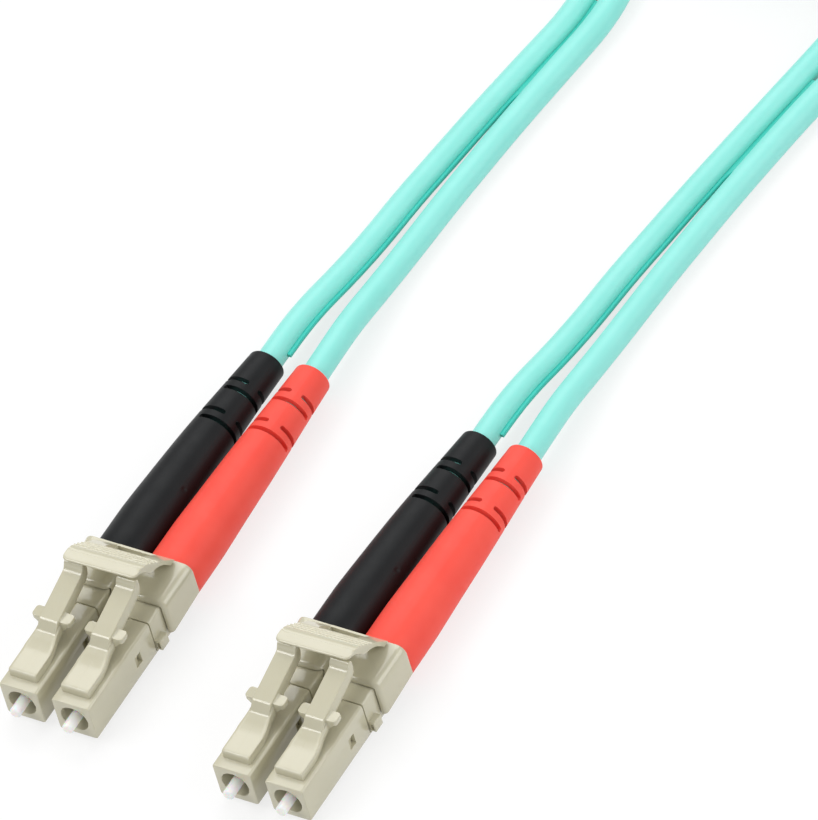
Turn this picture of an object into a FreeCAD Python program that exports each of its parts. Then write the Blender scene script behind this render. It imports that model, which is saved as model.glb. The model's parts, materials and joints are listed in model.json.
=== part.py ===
import FreeCAD, Part
import math
import os

import Sketcher
from FreeCAD import Placement, Rotation, Vector

# Duplex fiber optic patch cord: two ends, each with two plugs in a joining clip, and two jackets that
# run to a coil. Millimetres. +Y runs from the noses to the cord and +Z is up. The origin is at the
# bottom centre of the two ends, on the surface that they lie on.

SIZES = {
    # Places of the two ends and the coil
    "EndAX": -13.27, "EndAY": -22.4, "EndBX": 13.27, "EndBY": -24.3, "AxisHeight": 3.05,
    "PlugPitch": 6.25, "CoilX": 3.23, "CoilY": 116.5, "CoilBase": 1.9,
    # Plug housing
    "HousingSide": 4.52, "HousingCorner": 0.3, "HousingLength": 12.05, "FrontBoreRadius": 1.6,
    "WebFront": 4.6, "WebRear": 5.4, "WebHoleRadius": 1.2, "RearBoreRadius": 1.85,
    "WindowFront": 8.6, "WindowRear": 9.66, "WindowLow": -0.75, "WindowHigh": 0.65,
    "SlitFront": 10.7, "SlitWidth": 1.1, "SlitShift": -0.5,
    # Latch
    "LatchRootFront": 1.26, "LatchTop": 3.29, "LatchWidth": 3.26, "LatchHingeY": 4.25,
    "LatchHingeZ": 2.79, "LatchKnuckleRadius": 0.5, "LatchSocketRadius": 0.54, "LatchNeck": 2.5,
    "LatchTailWidth": 2.15, "EarWidth": 4.7, "EarFront": 7.6, "EarRear": 8.9, "EarLow": 3.9,
    "EarThickness": 0.7,
    # Ferrule, flange, spring and fibre
    "FerruleRadius": 0.6245, "FerruleTip": -1.6, "BossFront": 4.3, "BossRadius": 1.1,
    "BondRadius": 0.46, "BondBoreRadius": 0.465, "BondRear": 6.6, "FlangeFront": 5.42, "FlangeRear": 6.92,
    "FlangeCorner": 1.7, "TailRadius": 0.85, "TailRear": 10.5, "FibreRadius": 0.45,
    "FibreRear": 23.0, "SpringSeat": 10.6, "SpringWire": 0.34, "SpringRadius": 1.27,
    "SpringTurns": 4,
    # Rear body
    "BarrelFront": 8.1, "BarrelRadius": 1.82, "SpringBoreRadius": 1.5, "TailBoreRadius": 1.0,
    "FibreBoreRadius": 0.6, "BlockFront": 12.15, "BlockRear": 14.95,
    "NeckRadius": 1.9, "NeckRear": 17.9, "PostRadius": 1.3, "PostRear": 21.5,
    "TabFront": 12.2, "TabRear": 13.6, "TabLow": -1.75, "TabHigh": -0.45, "TabReach": 2.95,
    "LugReach": 2.12,
    # Crimp sleeve, yarn, jacket and boot
    "SleeveFront": 18.2, "SleeveStep": 22.0, "SleeveRear": 25.0, "SleeveRadius": 1.9,
    "SleeveSmallRadius": 1.75, "YarnFront": 18.4, "YarnRear": 21.9, "YarnRadius": 1.55,
    "JacketRadius": 1.4, "JacketGripRadius": 1.45, "JacketBoreRear": 24.6,
    "BootFront": 19.75, "BootRear": 48.3, "BootRadius": 3.05, "BootParallelRear": 25.0,
    "BootTipRadius": 1.975, "BootSeatRadius": 2.0, "BootSeatRear": 25.2, "BootBoreRadius": 1.46,
    "SlotWidth": 0.45, "SlotAngle": 146,
    # Duplex clip and trigger
    "ClipFront": 14.4, "ClipRear": 19.7, "ClipChannelRadius": 1.95, "ClipMouth": 3.2,
    "ClipPocketSide": 4.62, "TriggerWidth": 8.7, "TriggerHingeY": 19.15, "TriggerHingeZ": 3.42,
    "TriggerKnuckleRadius": 0.42, "TriggerSocketRadius": 0.46, "TriggerGap": 4.8,
    "TriggerGapFront": 17.7,
    # Coil
    "CoilOuter": 25.0, "CoilStep": 1.625, "CoilInner": 16.1, "LayerPitch": 2.85,
    "TieThickness": 0.45, "TieWidth": 5, "TieInnerReach": 15.4, "TieOuterReach": 26.2,
}

ENDS = {"a": ("EndAX", "EndAY"), "b": ("EndBX", "EndBY")}
SIDES = {"left": -1, "right": 1}
BOOT_ROLL = {"left": 45, "right": 21}
LONG_SLOT_ROWS = (38.8, 43.2)
SIDE_SLOT_ROWS = (40.05, 44.5)
CHORDS_PER_HALF_TURN = 10
BOOT_SIDES, INNER_SIDES = 24, 12
SMOOTH, MITRED = 0, 1

# Routes of the jackets from the boot's tip, in the end's own frame with heights above the surface.
# The first points of each are the stretch that both ends share.
LEFT_RUN = [(-3.125, 48.3, 3.05), (-3.125, 52.3, 3.05), (-2.75, 56.6, 2.6), (-2.15, 62.0, 1.8),
            (-1.5, 67.7, 1.4), (-0.87, 73.7, 1.4), (-0.04, 79.6, 1.4), (0.69, 85.6, 1.4),
            (1.82, 94.5, 1.4)]
RIGHT_RUN = [(3.125, 48.3, 3.05), (3.125, 52.3, 3.05), (2.75, 56.6, 2.6), (2.55, 62.2, 1.75),
             (2.96, 67.9, 1.4), (3.44, 75.2, 1.4), (3.97, 81.1, 1.4), (4.5, 86.9, 1.4),
             (5.39, 95.8, 1.4)]
ROUTES = {
    "a_left": LEFT_RUN + [(2.6, 101.0, 1.4), (2.3, 106.5, 1.4), (0.3, 112.0, 1.4),
                          (-3.0, 116.9, 1.4), (-6.1, 121.6, 1.45), (-7.9, 126.7, 1.65),
                          (-8.5, 131.6, 1.9), (-8.5, 136.1, 1.9)],
    "a_right": RIGHT_RUN + [(5.9, 102.0, 1.4), (5.6, 107.8, 1.5), (3.6, 113.6, 1.9),
                            (0.3, 118.8, 2.7), (-3.6, 123.1, 3.8), (-6.9, 127.3, 4.55),
                            (-8.5, 131.7, 4.75), (-8.5, 136.1, 4.75)],
    "b_right": RIGHT_RUN + [(6.1, 102.0, 1.4), (7.5, 108.0, 1.4), (9.5, 113.7, 1.8),
                            (11.8, 119.1, 2.9), (13.8, 124.5, 4.7), (14.9, 129.5, 6.6),
                            (14.96, 133.9, 7.6), (14.96, 138.0, 7.6)],
    "b_left": LEFT_RUN + [(2.6, 101.0, 1.4), (4.1, 108.3, 1.6), (5.9, 114.6, 2.8),
                          (8.6, 120.3, 5.1), (11.4, 125.1, 7.85), (13.7, 129.3, 9.75),
                          (14.96, 133.6, 10.45), (14.96, 138.0, 10.45)],
}

document = FreeCAD.newDocument("PatchCord")
sheet = document.addObject("Spreadsheet::Sheet", "Sizes")
for row, (alias, value) in enumerate(SIZES.items(), start=1):
    sheet.set("A%d" % row, alias)
    sheet.set("B%d" % row, str(value))
    sheet.setAlias("B%d" % row, alias)
document.recompute()

parts = []


def size(alias):
    return float(sheet.get(alias))


def new_body(label):
    body = document.addObject("PartDesign::Body", label)
    body.Label = label
    parts.append(body)
    return body


def place(part, x, y, z="Sizes.AxisHeight"):
    """Bind a sub-part's position to the sheet."""
    part.setExpression("Placement.Base.x", x)
    part.setExpression("Placement.Base.y", y)
    part.setExpression("Placement.Base.z", z)


def plug_place(part, end, side):
    end_x, end_y = ENDS[end]
    sign = "+" if SIDES[side] > 0 else "-"
    place(part, "Sizes.%s %s Sizes.PlugPitch / 2" % (end_x, sign), "Sizes." + end_y)


def end_place(part, end):
    end_x, end_y = ENDS[end]
    place(part, "Sizes." + end_x, "Sizes." + end_y)


def new_sketch(body, name, role, offset=None):
    """A sketch on one of the body's origin planes, moved along the plane's normal by an expression."""
    plane = [feature for feature in body.Origin.OriginFeatures if feature.Role == role][0]
    sketch = body.newObject("Sketcher::SketchObject", name)
    sketch.AttachmentSupport = (plane, [""])
    sketch.MapMode = "FlatFace"
    if offset:
        sketch.setExpression("AttachmentOffset.Base.z", offset)
    return sketch


def add_outline(sketch, corners):
    """A closed outline of straight lines."""
    for here, there in zip(corners, corners[1:] + corners[:1]):
        sketch.addGeometry(Part.LineSegment(Vector(*here), Vector(*there)))


def add_rectangle(sketch, low, high):
    add_outline(sketch, [low, (high[0], low[1]), high, (low[0], high[1])])


def add_rounded_rectangle(sketch, low, high, radius):
    """A rectangle whose corners are rounded by two chords each."""
    (x0, y0), (x1, y1) = low, high
    bulge = radius * (1 - math.sqrt(0.5))
    add_outline(sketch, [
        (x0 + radius, y0), (x1 - radius, y0), (x1 - bulge, y0 + bulge), (x1, y0 + radius),
        (x1, y1 - radius), (x1 - bulge, y1 - bulge), (x1 - radius, y1), (x0 + radius, y1),
        (x0 + bulge, y1 - bulge), (x0, y1 - radius), (x0, y0 + radius), (x0 + bulge, y0 + bulge)])


def add_circle(sketch, centre, alias):
    """A circle whose radius follows the sheet."""
    index = sketch.addGeometry(Part.Circle(Vector(*centre), Vector(0, 0, 1), size(alias)))
    number = sketch.addConstraint(Sketcher.Constraint("Radius", index, size(alias)))
    sketch.setExpression("Constraints[%d]" % number, "Sizes." + alias)


def add_polygon(sketch, centre, radius, sides=INNER_SIDES):
    """A regular polygon with its corners at the radius, one of them straight down."""
    corners = []
    for corner in range(sides):
        angle = 2 * math.pi * corner / sides
        corners.append((centre[0] + radius * math.sin(angle), centre[1] - radius * math.cos(angle)))
    add_outline(sketch, corners)


def pad(body, sketch, length, backwards=False, both_ways=False):
    feature = body.newObject("PartDesign::Pad", "Pad")
    feature.Profile = sketch
    feature.setExpression("Length", length)
    feature.Reversed = backwards
    if both_ways:
        feature.SideType = "Symmetric"
    return feature


def pocket(body, sketch, length, backwards=False, both_ways=False):
    feature = body.newObject("PartDesign::Pocket", "Pocket")
    feature.Profile = sketch
    feature.setExpression("Length", length)
    feature.Reversed = backwards
    if both_ways:
        feature.SideType = "Symmetric"
    return feature


def add_prism(body, name, radius, front, rear, sides=INNER_SIDES):
    """A regular prism about the body's Y axis, between two places of the sheet."""
    section = new_sketch(body, name, "XZ_Plane", "-Sizes." + front)
    add_polygon(section, (0, 0), size(radius), sides)
    pad(body, section, "Sizes.%s - Sizes.%s" % (rear, front), backwards=True)


def bore_prism(body, name, radius, front, rear, sides=INNER_SIDES):
    """The same, cut out of the body."""
    section = new_sketch(body, name, "XZ_Plane", "-Sizes." + front)
    add_polygon(section, (0, 0), size(radius), sides)
    pocket(body, section, "Sizes.%s - Sizes.%s" % (rear, front))


def revolve(body, sketch):
    feature = body.newObject("PartDesign::Revolution", "Revolution")
    feature.Profile = sketch
    feature.ReferenceAxis = (sketch, ["V_Axis"])
    feature.Angle = 360
    return feature


def groove(body, sketch, axis="V_Axis", angle="360"):
    feature = body.newObject("PartDesign::Groove", "Groove")
    feature.Profile = sketch
    feature.ReferenceAxis = (sketch, [axis])
    feature.Midplane = True
    feature.setExpression("Angle", angle)
    return feature


def make_plug_housing(label):
    body = new_body(label)
    half = size("HousingSide") / 2
    section = new_sketch(body, "Section", "XZ_Plane")
    add_rounded_rectangle(section, (-half, -half), (half, half), size("HousingCorner"))
    pad(body, section, "Sizes.HousingLength", backwards=True)

    front, top, hinge_y = size("LatchRootFront"), size("LatchTop"), size("LatchHingeY")
    root = new_sketch(body, "LatchRoot", "YZ_Plane")
    add_outline(root, [(front, half - 0.1), (front, top - 0.3), (front + 0.09, top - 0.09),
                       (front + 0.3, top), (hinge_y, top), (hinge_y, half - 0.1)])
    pad(body, root, "Sizes.LatchWidth", both_ways=True)

    socket = new_sketch(body, "HingeSocket", "YZ_Plane")
    add_circle(socket, (hinge_y, size("LatchHingeZ")), "LatchSocketRadius")
    pocket(body, socket, "Sizes.LatchWidth + 0.2", both_ways=True)

    bore = new_sketch(body, "FrontBore", "XZ_Plane")
    add_circle(bore, (0, 0), "FrontBoreRadius")
    pocket(body, bore, "Sizes.WebFront")
    bore_prism(body, "WebHole", "WebHoleRadius", "WebFront", "WebRear")
    bore_prism(body, "RearCavity", "RearBoreRadius", "WebRear", "HousingLength")

    window = new_sketch(body, "Window", "YZ_Plane")
    add_rectangle(window, (size("WindowFront"), size("WindowLow")), (size("WindowRear"), size("WindowHigh")))
    pocket(body, window, "Sizes.HousingSide + 1", both_ways=True)

    slit = new_sketch(body, "Slit", "XY_Plane")
    middle, reach = size("SlitShift"), size("SlitWidth") / 2
    add_rectangle(slit, (middle - reach, size("SlitFront")), (middle + reach, size("HousingLength") + 1))
    pocket(body, slit, "Sizes.HousingSide", backwards=True)
    return body


def make_latch(label):
    body = new_body(label)
    hinge = (size("LatchHingeY"), size("LatchHingeZ"))
    top = size("LatchTop")
    side = new_sketch(body, "SideView", "YZ_Plane")
    add_outline(side, [
        (hinge[0], top), (6.63, 3.88), (7.38, 4.84), (12.93, 6.22), (13.42, 6.43), (13.6, 6.98),
        (13.82, 6.26), (13.71, 5.12), (13.3, 4.78), (9.94, 3.78), (6.9, 2.86), (hinge[0], hinge[1] - 0.45)])
    pad(body, side, "Sizes.LatchWidth", both_ways=True)

    knuckle = new_sketch(body, "Knuckle", "YZ_Plane")
    add_circle(knuckle, hinge, "LatchKnuckleRadius")
    pad(body, knuckle, "Sizes.LatchWidth", both_ways=True)

    waist = new_sketch(body, "Waist", "XY_Plane")
    wide, neck, tail = size("LatchWidth") / 2, size("LatchNeck") / 2, size("LatchTailWidth") / 2
    for sign in (-1, 1):
        add_outline(waist, [
            (sign * wide, 4.9), (sign * 1.37, 6.0), (sign * neck, 7.3), (sign * neck, 8.9),
            (sign * tail, 9.2), (sign * tail, 15), (sign * (wide + 1), 15), (sign * (wide + 1), 4.9)])
    pocket(body, waist, "20 mm", both_ways=True)

    ears = new_sketch(body, "Ears", "XY_Plane", "Sizes.EarLow")
    reach = size("EarWidth") / 2
    add_rounded_rectangle(ears, (-reach, size("EarFront")), (reach, size("EarRear")), 0.35)
    pad(body, ears, "Sizes.EarThickness")
    return body


def make_ferrule(label):
    body = new_body(label)
    radius, tip, rear = size("FerruleRadius"), size("FerruleTip"), size("BossFront")
    profile = new_sketch(body, "Profile", "XY_Plane")
    add_outline(profile, [(0, tip), (radius - 0.12, tip), (radius, tip + 0.12), (radius, rear), (0, rear)])
    revolve(body, profile)
    add_prism(body, "Bond", "BondRadius", "BossFront", "BondRear")
    return body


def make_ferrule_flange(label):
    """A boss and tail with a hexagonal collar between them, bored for the ferrule and fibre."""
    body = new_body(label)
    add_prism(body, "Boss", "BossRadius", "BossFront", "FlangeFront")
    add_prism(body, "Collar", "FlangeCorner", "FlangeFront", "FlangeRear", 6)
    add_prism(body, "Tail", "TailRadius", "FlangeRear", "TailRear")
    bore_prism(body, "BondBore", "BondBoreRadius", "BossFront", "BondRear")
    bore_prism(body, "FibreBore", "FibreRadius", "BondRear", "TailRear")
    return body


def make_ferrule_spring(label):
    """Square wire on a helix, lofted through six sections a turn."""
    wire, radius, turns = size("SpringWire") / 2, size("SpringRadius"), int(size("SpringTurns"))
    first, last = size("FlangeRear") + wire, size("SpringSeat") - wire
    steps = 6 * turns
    sections = []
    for step in range(steps + 1):
        angle = 2 * math.pi * step / 6
        along = first + (last - first) * step / steps
        corners = []
        for out, up in ((-wire, -wire), (wire, -wire), (wire, wire), (-wire, wire)):
            reach = radius + out
            corners.append(Vector(reach * math.cos(angle), along + up, reach * math.sin(angle)))
        sections.append(Part.makePolygon(corners + corners[:1]))
    spring = document.addObject("Part::Feature", label)
    spring.Label = label
    spring.Shape = Part.makeLoft(sections, True, True)
    parts.append(spring)
    return spring


def make_rear_body(label):
    body = new_body(label)
    half, corner = size("HousingSide") / 2, size("HousingCorner")
    block = new_sketch(body, "Block", "XZ_Plane", "-Sizes.BlockFront")
    add_outline(block, [
        (corner - half, -half), (half - corner, -half), (half, corner - half), (half, half - corner),
        (half - corner, half), (corner - half, half), (-half, half - corner), (-half, corner - half)])
    pad(body, block, "Sizes.BlockRear - Sizes.BlockFront", backwards=True)

    add_prism(body, "Barrel", "BarrelRadius", "BarrelFront", "BlockFront")
    add_prism(body, "Neck", "NeckRadius", "BlockRear", "NeckRear")
    add_prism(body, "Post", "PostRadius", "NeckRear", "PostRear")

    tabs = new_sketch(body, "Tabs", "YZ_Plane")
    add_rectangle(tabs, (size("TabFront"), size("TabLow")), (size("TabRear"), size("TabHigh")))
    pad(body, tabs, "2 * Sizes.TabReach", both_ways=True)

    lugs = new_sketch(body, "Lugs", "YZ_Plane")
    add_rectangle(lugs, (size("WindowFront") + 0.1, size("WindowLow") + 0.1),
                  (size("WindowRear") - 0.1, size("WindowHigh") - 0.1))
    pad(body, lugs, "2 * Sizes.LugReach", both_ways=True)

    bore_prism(body, "SpringBore", "SpringBoreRadius", "BarrelFront", "SpringSeat")
    bore_prism(body, "TailBore", "TailBoreRadius", "SpringSeat", "PostRear")
    return body


def make_aramid_yarn(label):
    body = new_body(label)
    add_prism(body, "Yarn", "YarnRadius", "YarnFront", "YarnRear")
    bore_prism(body, "PostBore", "PostRadius", "YarnFront", "YarnRear")
    return body


def make_crimp_sleeve(label):
    """Hexagonal where it is crimped over the yarn, and round over the jacket."""
    body = new_body(label)
    add_prism(body, "Round", "SleeveSmallRadius", "SleeveFront", "SleeveRear")
    add_prism(body, "Crimp", "SleeveRadius", "SleeveFront", "SleeveStep", 6)
    bore_prism(body, "YarnBore", "YarnRadius", "SleeveFront", "SleeveStep")
    bore_prism(body, "JacketBore", "JacketGripRadius", "SleeveStep", "SleeveRear")
    return body


def make_fibre(label):
    body = new_body(label)
    add_prism(body, "Buffer", "FibreRadius", "BondRear", "FibreRear")
    return body


def make_jacket_end(label):
    body = new_body(label)
    add_prism(body, "Jacket", "JacketRadius", "SleeveStep", "BootRear", BOOT_SIDES)
    bore_prism(body, "FibreBore", "FibreBoreRadius", "SleeveStep", "JacketBoreRear")
    return body


def make_boot(label):
    """A tapered sleeve, ruled through regular sections, with rows of two slots each."""
    body = new_body(label)
    front, rear, parallel = size("BootFront"), size("BootRear"), size("BootParallelRear")
    wide, tip = size("BootRadius"), size("BootTipRadius")
    sections = []
    halfway = ((parallel + rear) / 2, (wide + tip) / 2 + 0.06)
    for along, radius in ((front, wide), (parallel, wide), halfway, (rear, tip)):
        section = new_sketch(body, "Outside", "XZ_Plane", "%.3f mm" % -along)
        add_polygon(section, (0, 0), radius, BOOT_SIDES)
        sections.append(section)
    loft = body.newObject("PartDesign::AdditiveLoft", "Taper")
    loft.Profile = sections[0]
    loft.Sections = sections[1:]
    loft.Ruled = True

    bore_prism(body, "SleeveSeat", "BootSeatRadius", "BootFront", "BootSeatRear")
    bore_prism(body, "Bore", "BootBoreRadius", "BootSeatRear", "BootRear")

    outside = size("BootRadius")
    for name, rows, role, axis in (("LongSlots", LONG_SLOT_ROWS, "YZ_Plane", "H_Axis"),
                                   ("SideSlots", SIDE_SLOT_ROWS, "XY_Plane", "V_Axis")):
        for near in (1, -1):
            sketch = new_sketch(body, name, role)
            for row in rows:
                low, high = row - size("SlotWidth") / 2, row + size("SlotWidth") / 2
                if role == "YZ_Plane":
                    add_rectangle(sketch, (low, near * 1.2), (high, near * outside))
                else:
                    add_rectangle(sketch, (near * 1.2, low), (near * outside, high))
            groove(body, sketch, axis, "Sizes.SlotAngle")
    return body


def clip_section(body, name, along, reach, top, bottom):
    """One cross-section of the clip: two arches with a valley between them, in short chords."""
    valley = 1.2
    half = [(reach, bottom), (reach, top - 1.0), (reach - 0.13, top - 0.5), (reach - 0.5, top - 0.13),
            (reach - 1.0, top), (1.9, top), (1.3, top - 0.18), (0.85, top - 0.6), (0.55, valley)]
    sketch = new_sketch(body, name, "XZ_Plane", "%.2f mm" % -along)
    add_outline(sketch, half + [(-x, z) for x, z in reversed(half)])
    return sketch


def make_duplex_clip(label):
    body = new_body(label)
    front, rear = size("ClipFront"), size("ClipRear")
    sections = [clip_section(body, "FrontEdge", front, 5.65, 2.5, -1.5),
                clip_section(body, "FrontRound", front + 0.25, 5.97, 2.86, -1.45),
                clip_section(body, "FrontTop", front + 0.7, 6.14, 3.03, -1.35),
                clip_section(body, "RearEnd", rear, 6.39, 3.41, -0.55)]
    loft = body.newObject("PartDesign::AdditiveLoft", "Saddle")
    loft.Profile = sections[0]
    loft.Sections = sections[1:]
    loft.Ruled = True

    half_pitch, mouth = size("PlugPitch") / 2, size("ClipMouth") / 2
    channels = new_sketch(body, "Channels", "XZ_Plane", "-Sizes.ClipFront")
    mouths = new_sketch(body, "Mouths", "XZ_Plane", "-Sizes.ClipFront")
    pockets = new_sketch(body, "BlockPockets", "XZ_Plane", "-Sizes.ClipFront")
    pocket_half = size("ClipPocketSide") / 2
    for sign in (-1, 1):
        centre = sign * half_pitch
        add_polygon(channels, (centre, 0), size("ClipChannelRadius"))
        add_rectangle(mouths, (centre - mouth, -3), (centre + mouth, 0))
        add_rectangle(pockets, (centre - pocket_half, -3), (centre + pocket_half, pocket_half))
    pocket(body, channels, "Sizes.ClipRear - Sizes.ClipFront + 1")
    pocket(body, mouths, "Sizes.ClipRear - Sizes.ClipFront + 1")
    pocket(body, pockets, "Sizes.BlockRear - Sizes.ClipFront + 0.05")

    socket = new_sketch(body, "HingeSocket", "YZ_Plane")
    add_circle(socket, (size("TriggerHingeY"), size("TriggerHingeZ")), "TriggerSocketRadius")
    pocket(body, socket, "Sizes.TriggerWidth + 0.3", both_ways=True)
    return body


def make_trigger(label):
    body = new_body(label)
    side = new_sketch(body, "SideView", "YZ_Plane")
    rib_height, rib_half = 0.1, 0.1
    slope = (6.54 - 5.6) / (16.25 - 17.3)
    ribs = []
    for along in (17.26, 16.74, 16.23, 15.76):
        high = 6.54 + slope * (along - 16.25) if along > 16 else 7.02
        ribs += [(along + rib_half, high + slope * rib_half), (along + 0.06, high + rib_height),
                 (along - rib_half, high - slope * rib_half)]
    underside = [(14.35, 6.95), (14.95, 6.45), (15.5, 5.88), (16.7, 5.35), (17.5, 4.87), (18.1, 4.3)]
    add_outline(side, [(13.25, 7.45)] + underside + [(18.78, 3.5), (19.55, 3.5), (18.06, 5.0)] + ribs + [
        (15.2, 7.33), (14.6, 7.5), (13.9, 7.55), (13.3, 7.6)])
    pad(body, side, "Sizes.TriggerWidth", both_ways=True)

    knuckle = new_sketch(body, "Knuckle", "YZ_Plane")
    add_circle(knuckle, (size("TriggerHingeY"), size("TriggerHingeZ")), "TriggerKnuckleRadius")
    pad(body, knuckle, "Sizes.TriggerWidth", both_ways=True)

    gap = new_sketch(body, "Gap", "XY_Plane")
    half = size("TriggerGap") / 2
    add_rectangle(gap, (-half, size("TriggerGapFront")), (half, 21))
    pocket(body, gap, "20 mm", both_ways=True)
    return body


def polygon_profile(start, heading, radius, sides):
    """A regular outline square to the heading, with a corner straight down."""
    ahead = Vector(heading).normalize()
    down = Vector(0, 0, -1)
    down = (down - ahead * down.dot(ahead)).normalize()
    across = ahead.cross(down)
    corners = []
    for corner in range(sides):
        angle = 2 * math.pi * corner / sides
        corners.append(start + down * (radius * math.cos(angle)) + across * (radius * math.sin(angle)))
    return Part.makePolygon(corners + corners[:1])


def sweep(label, edges, heading, sides, corners):
    """A closed tube along a path, with its volume compared with section times length."""
    path = Part.Wire(edges)
    start = edges[0].valueAt(edges[0].FirstParameter)
    profile = polygon_profile(start, heading, size("JacketRadius"), sides)
    tube = document.addObject("Part::Feature", label)
    tube.Label = label
    tube.Shape = path.makePipeShell([profile], True, False, corners)
    expected = Part.Face(profile).Area * path.Length
    print("%s: length %.1f, volume %.2f of %.2f" % (label, path.Length, tube.Shape.Volume, expected))
    parts.append(tube)
    return tube


def make_lead(label, end, route):
    """Straight runs joined by tangent arcs, each as large as its two runs allow."""
    end_x, end_y = ENDS[end]
    points = [Vector(x + size(end_x), y + size(end_y), z) for x, y, z in route]
    edges, radii = [], []
    here = points[0]
    for before, corner, after in zip(points, points[1:], points[2:]):
        inward, outward = corner - before, after - corner
        turn = inward.getAngle(outward)
        cut = 0.45 * min(inward.Length, outward.Length)
        radii.append(cut / math.tan(turn / 2))
        first = corner - Vector(inward).normalize() * cut
        last = corner + Vector(outward).normalize() * cut
        to_middle = (first + last) * 0.5 - corner
        depth = radii[-1] / math.cos(turn / 2) - radii[-1]
        middle = corner + to_middle.normalize() * depth
        edges.append(Part.LineSegment(here, first).toShape())
        edges.append(Part.Arc(first, middle, last).toShape())
        here = last
    edges.append(Part.LineSegment(here, points[-1]).toShape())
    print("%s: least radius %.1f" % (label, min(radii)), ["%.0f" % radius for radius in radii])
    return sweep(label, edges, points[1] - points[0], 6, SMOOTH)


def make_coil_strand(label, level):
    """Chords of half turns that spiral in, climb two layers on the innermost one, and spiral out."""
    centre_x, centre_y = size("CoilX"), size("CoilY")
    low = size("CoilBase") + level * size("LayerPitch")
    high = low + 2 * size("LayerPitch")
    inward = [size("CoilOuter") - size("CoilStep") * turn for turn in range(5)] + [size("CoilInner")]
    crossings = [(reach, low) for reach in inward] + [(reach, high) for reach in reversed(inward)]
    straight = Vector(0, 2 * size("JacketRadius"), 0)
    side, points = -1, []
    for reach, height in crossings:
        points.append(Vector(centre_x + side * reach, centre_y, height))
        side = -side
    path = [points[0] - straight]
    bulge = Vector(0, 1, 0)
    for first, last in zip(points, points[1:]):
        half_turn = Part.Arc(first, (first + last) * 0.5 + bulge * ((last - first).Length / 2), last)
        path += half_turn.discretize(Number=CHORDS_PER_HALF_TURN + 1)[:-1]
        bulge = -bulge
    path += [points[-1], points[-1] - straight]
    chords = [Part.LineSegment(first, last).toShape() for first, last in zip(path, path[1:])]

    gap = 1000.0
    for index, first in enumerate(chords):
        for other in chords[index + CHORDS_PER_HALF_TURN:]:
            gap = min(gap, first.distToShape(other)[0])
    print("%s: least gap to itself %.2f" % (label, gap - 2 * size("JacketRadius")))
    return sweep(label, chords, Vector(0, 1, 0), 6, MITRED)


def make_coil_tie(label):
    body = new_body(label)
    thick = size("TieThickness")
    low = size("CoilBase") - size("JacketRadius") - 0.04
    high = 2 * size("JacketRadius") + 3 * size("LayerPitch") + 0.6
    near, far = size("TieInnerReach"), size("TieOuterReach")
    strap = new_sketch(body, "Strap", "YZ_Plane")
    add_rounded_rectangle(strap, (near, low), (far, high), 1.0)
    add_rounded_rectangle(strap, (near - thick, low - thick), (far + thick, high + thick), 1.0 + thick)
    pad(body, strap, "Sizes.TieWidth", both_ways=True)
    place(body, "Sizes.CoilX", "Sizes.CoilY", "0 mm")
    return body


def roll_boot(boot, side):
    boot.Placement = Placement(boot.Placement.Base, Rotation(Vector(0, 1, 0), BOOT_ROLL[side]))


PLUG_PIECES = {
    "plug_housing": make_plug_housing, "latch": make_latch, "ferrule": make_ferrule,
    "ferrule_flange": make_ferrule_flange, "ferrule_spring": make_ferrule_spring,
    "rear_body": make_rear_body, "aramid_yarn": make_aramid_yarn, "crimp_sleeve": make_crimp_sleeve,
    "fibre": make_fibre, "jacket_end": make_jacket_end, "boot": make_boot,
}
END_PIECES = {"duplex_clip": make_duplex_clip, "trigger": make_trigger}

for end in ENDS:
    for name, make in END_PIECES.items():
        end_place(make("%s_%s" % (name, end)), end)
    for side in SIDES:
        for name, make in PLUG_PIECES.items():
            piece = make("%s_%s_%s" % (name, end, side))
            if name == "boot":
                roll_boot(piece, side)
            plug_place(piece, end, side)
        plug = "%s_%s" % (end, side)
        make_lead("lead_" + plug, end, ROUTES[plug])
make_coil_strand("coil_strand_outer", 0)
make_coil_strand("coil_strand_inner", 1)
make_coil_tie("coil_tie")
document.recompute()

failed = [item.Name for item in document.Objects if "Invalid" in item.State or "Error" in item.State]
for part in parts:
    if part.Shape.isNull() or not part.Shape.isValid() or part.Shape.Volume <= 0:
        failed.append(part.Label)
if failed:
    raise RuntimeError("failed objects: " + ", ".join(failed))

os.makedirs("parts", exist_ok=True)
for part in parts:
    part.Shape.exportStep("parts/%s.step" % part.Label)
print("%d parts written" % len(parts))
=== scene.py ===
import json
import math

import bmesh
import bpy
from mathutils import Matrix, Vector


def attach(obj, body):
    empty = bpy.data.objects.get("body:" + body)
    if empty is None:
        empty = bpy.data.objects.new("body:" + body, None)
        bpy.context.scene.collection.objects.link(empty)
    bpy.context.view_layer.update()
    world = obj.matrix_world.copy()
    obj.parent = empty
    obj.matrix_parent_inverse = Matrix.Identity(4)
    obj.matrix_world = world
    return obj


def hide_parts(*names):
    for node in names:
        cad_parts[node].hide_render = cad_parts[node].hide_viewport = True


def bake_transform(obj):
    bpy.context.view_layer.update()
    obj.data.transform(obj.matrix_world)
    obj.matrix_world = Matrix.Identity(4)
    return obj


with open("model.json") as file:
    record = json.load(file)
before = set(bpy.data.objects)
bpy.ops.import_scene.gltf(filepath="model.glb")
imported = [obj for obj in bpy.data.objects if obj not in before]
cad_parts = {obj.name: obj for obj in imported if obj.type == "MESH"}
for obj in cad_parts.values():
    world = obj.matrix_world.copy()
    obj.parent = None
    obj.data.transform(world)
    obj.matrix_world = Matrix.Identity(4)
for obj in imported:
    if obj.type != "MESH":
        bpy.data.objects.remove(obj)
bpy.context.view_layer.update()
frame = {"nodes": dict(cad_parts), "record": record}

# Lengths are millimetres in the frame of an end: X across its two plugs, Y from the noses to the cord
# and Z up, with the plugs' axes at Z = 0. They become metres in the object's frame when a piece is made.
MM = 0.001
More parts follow.
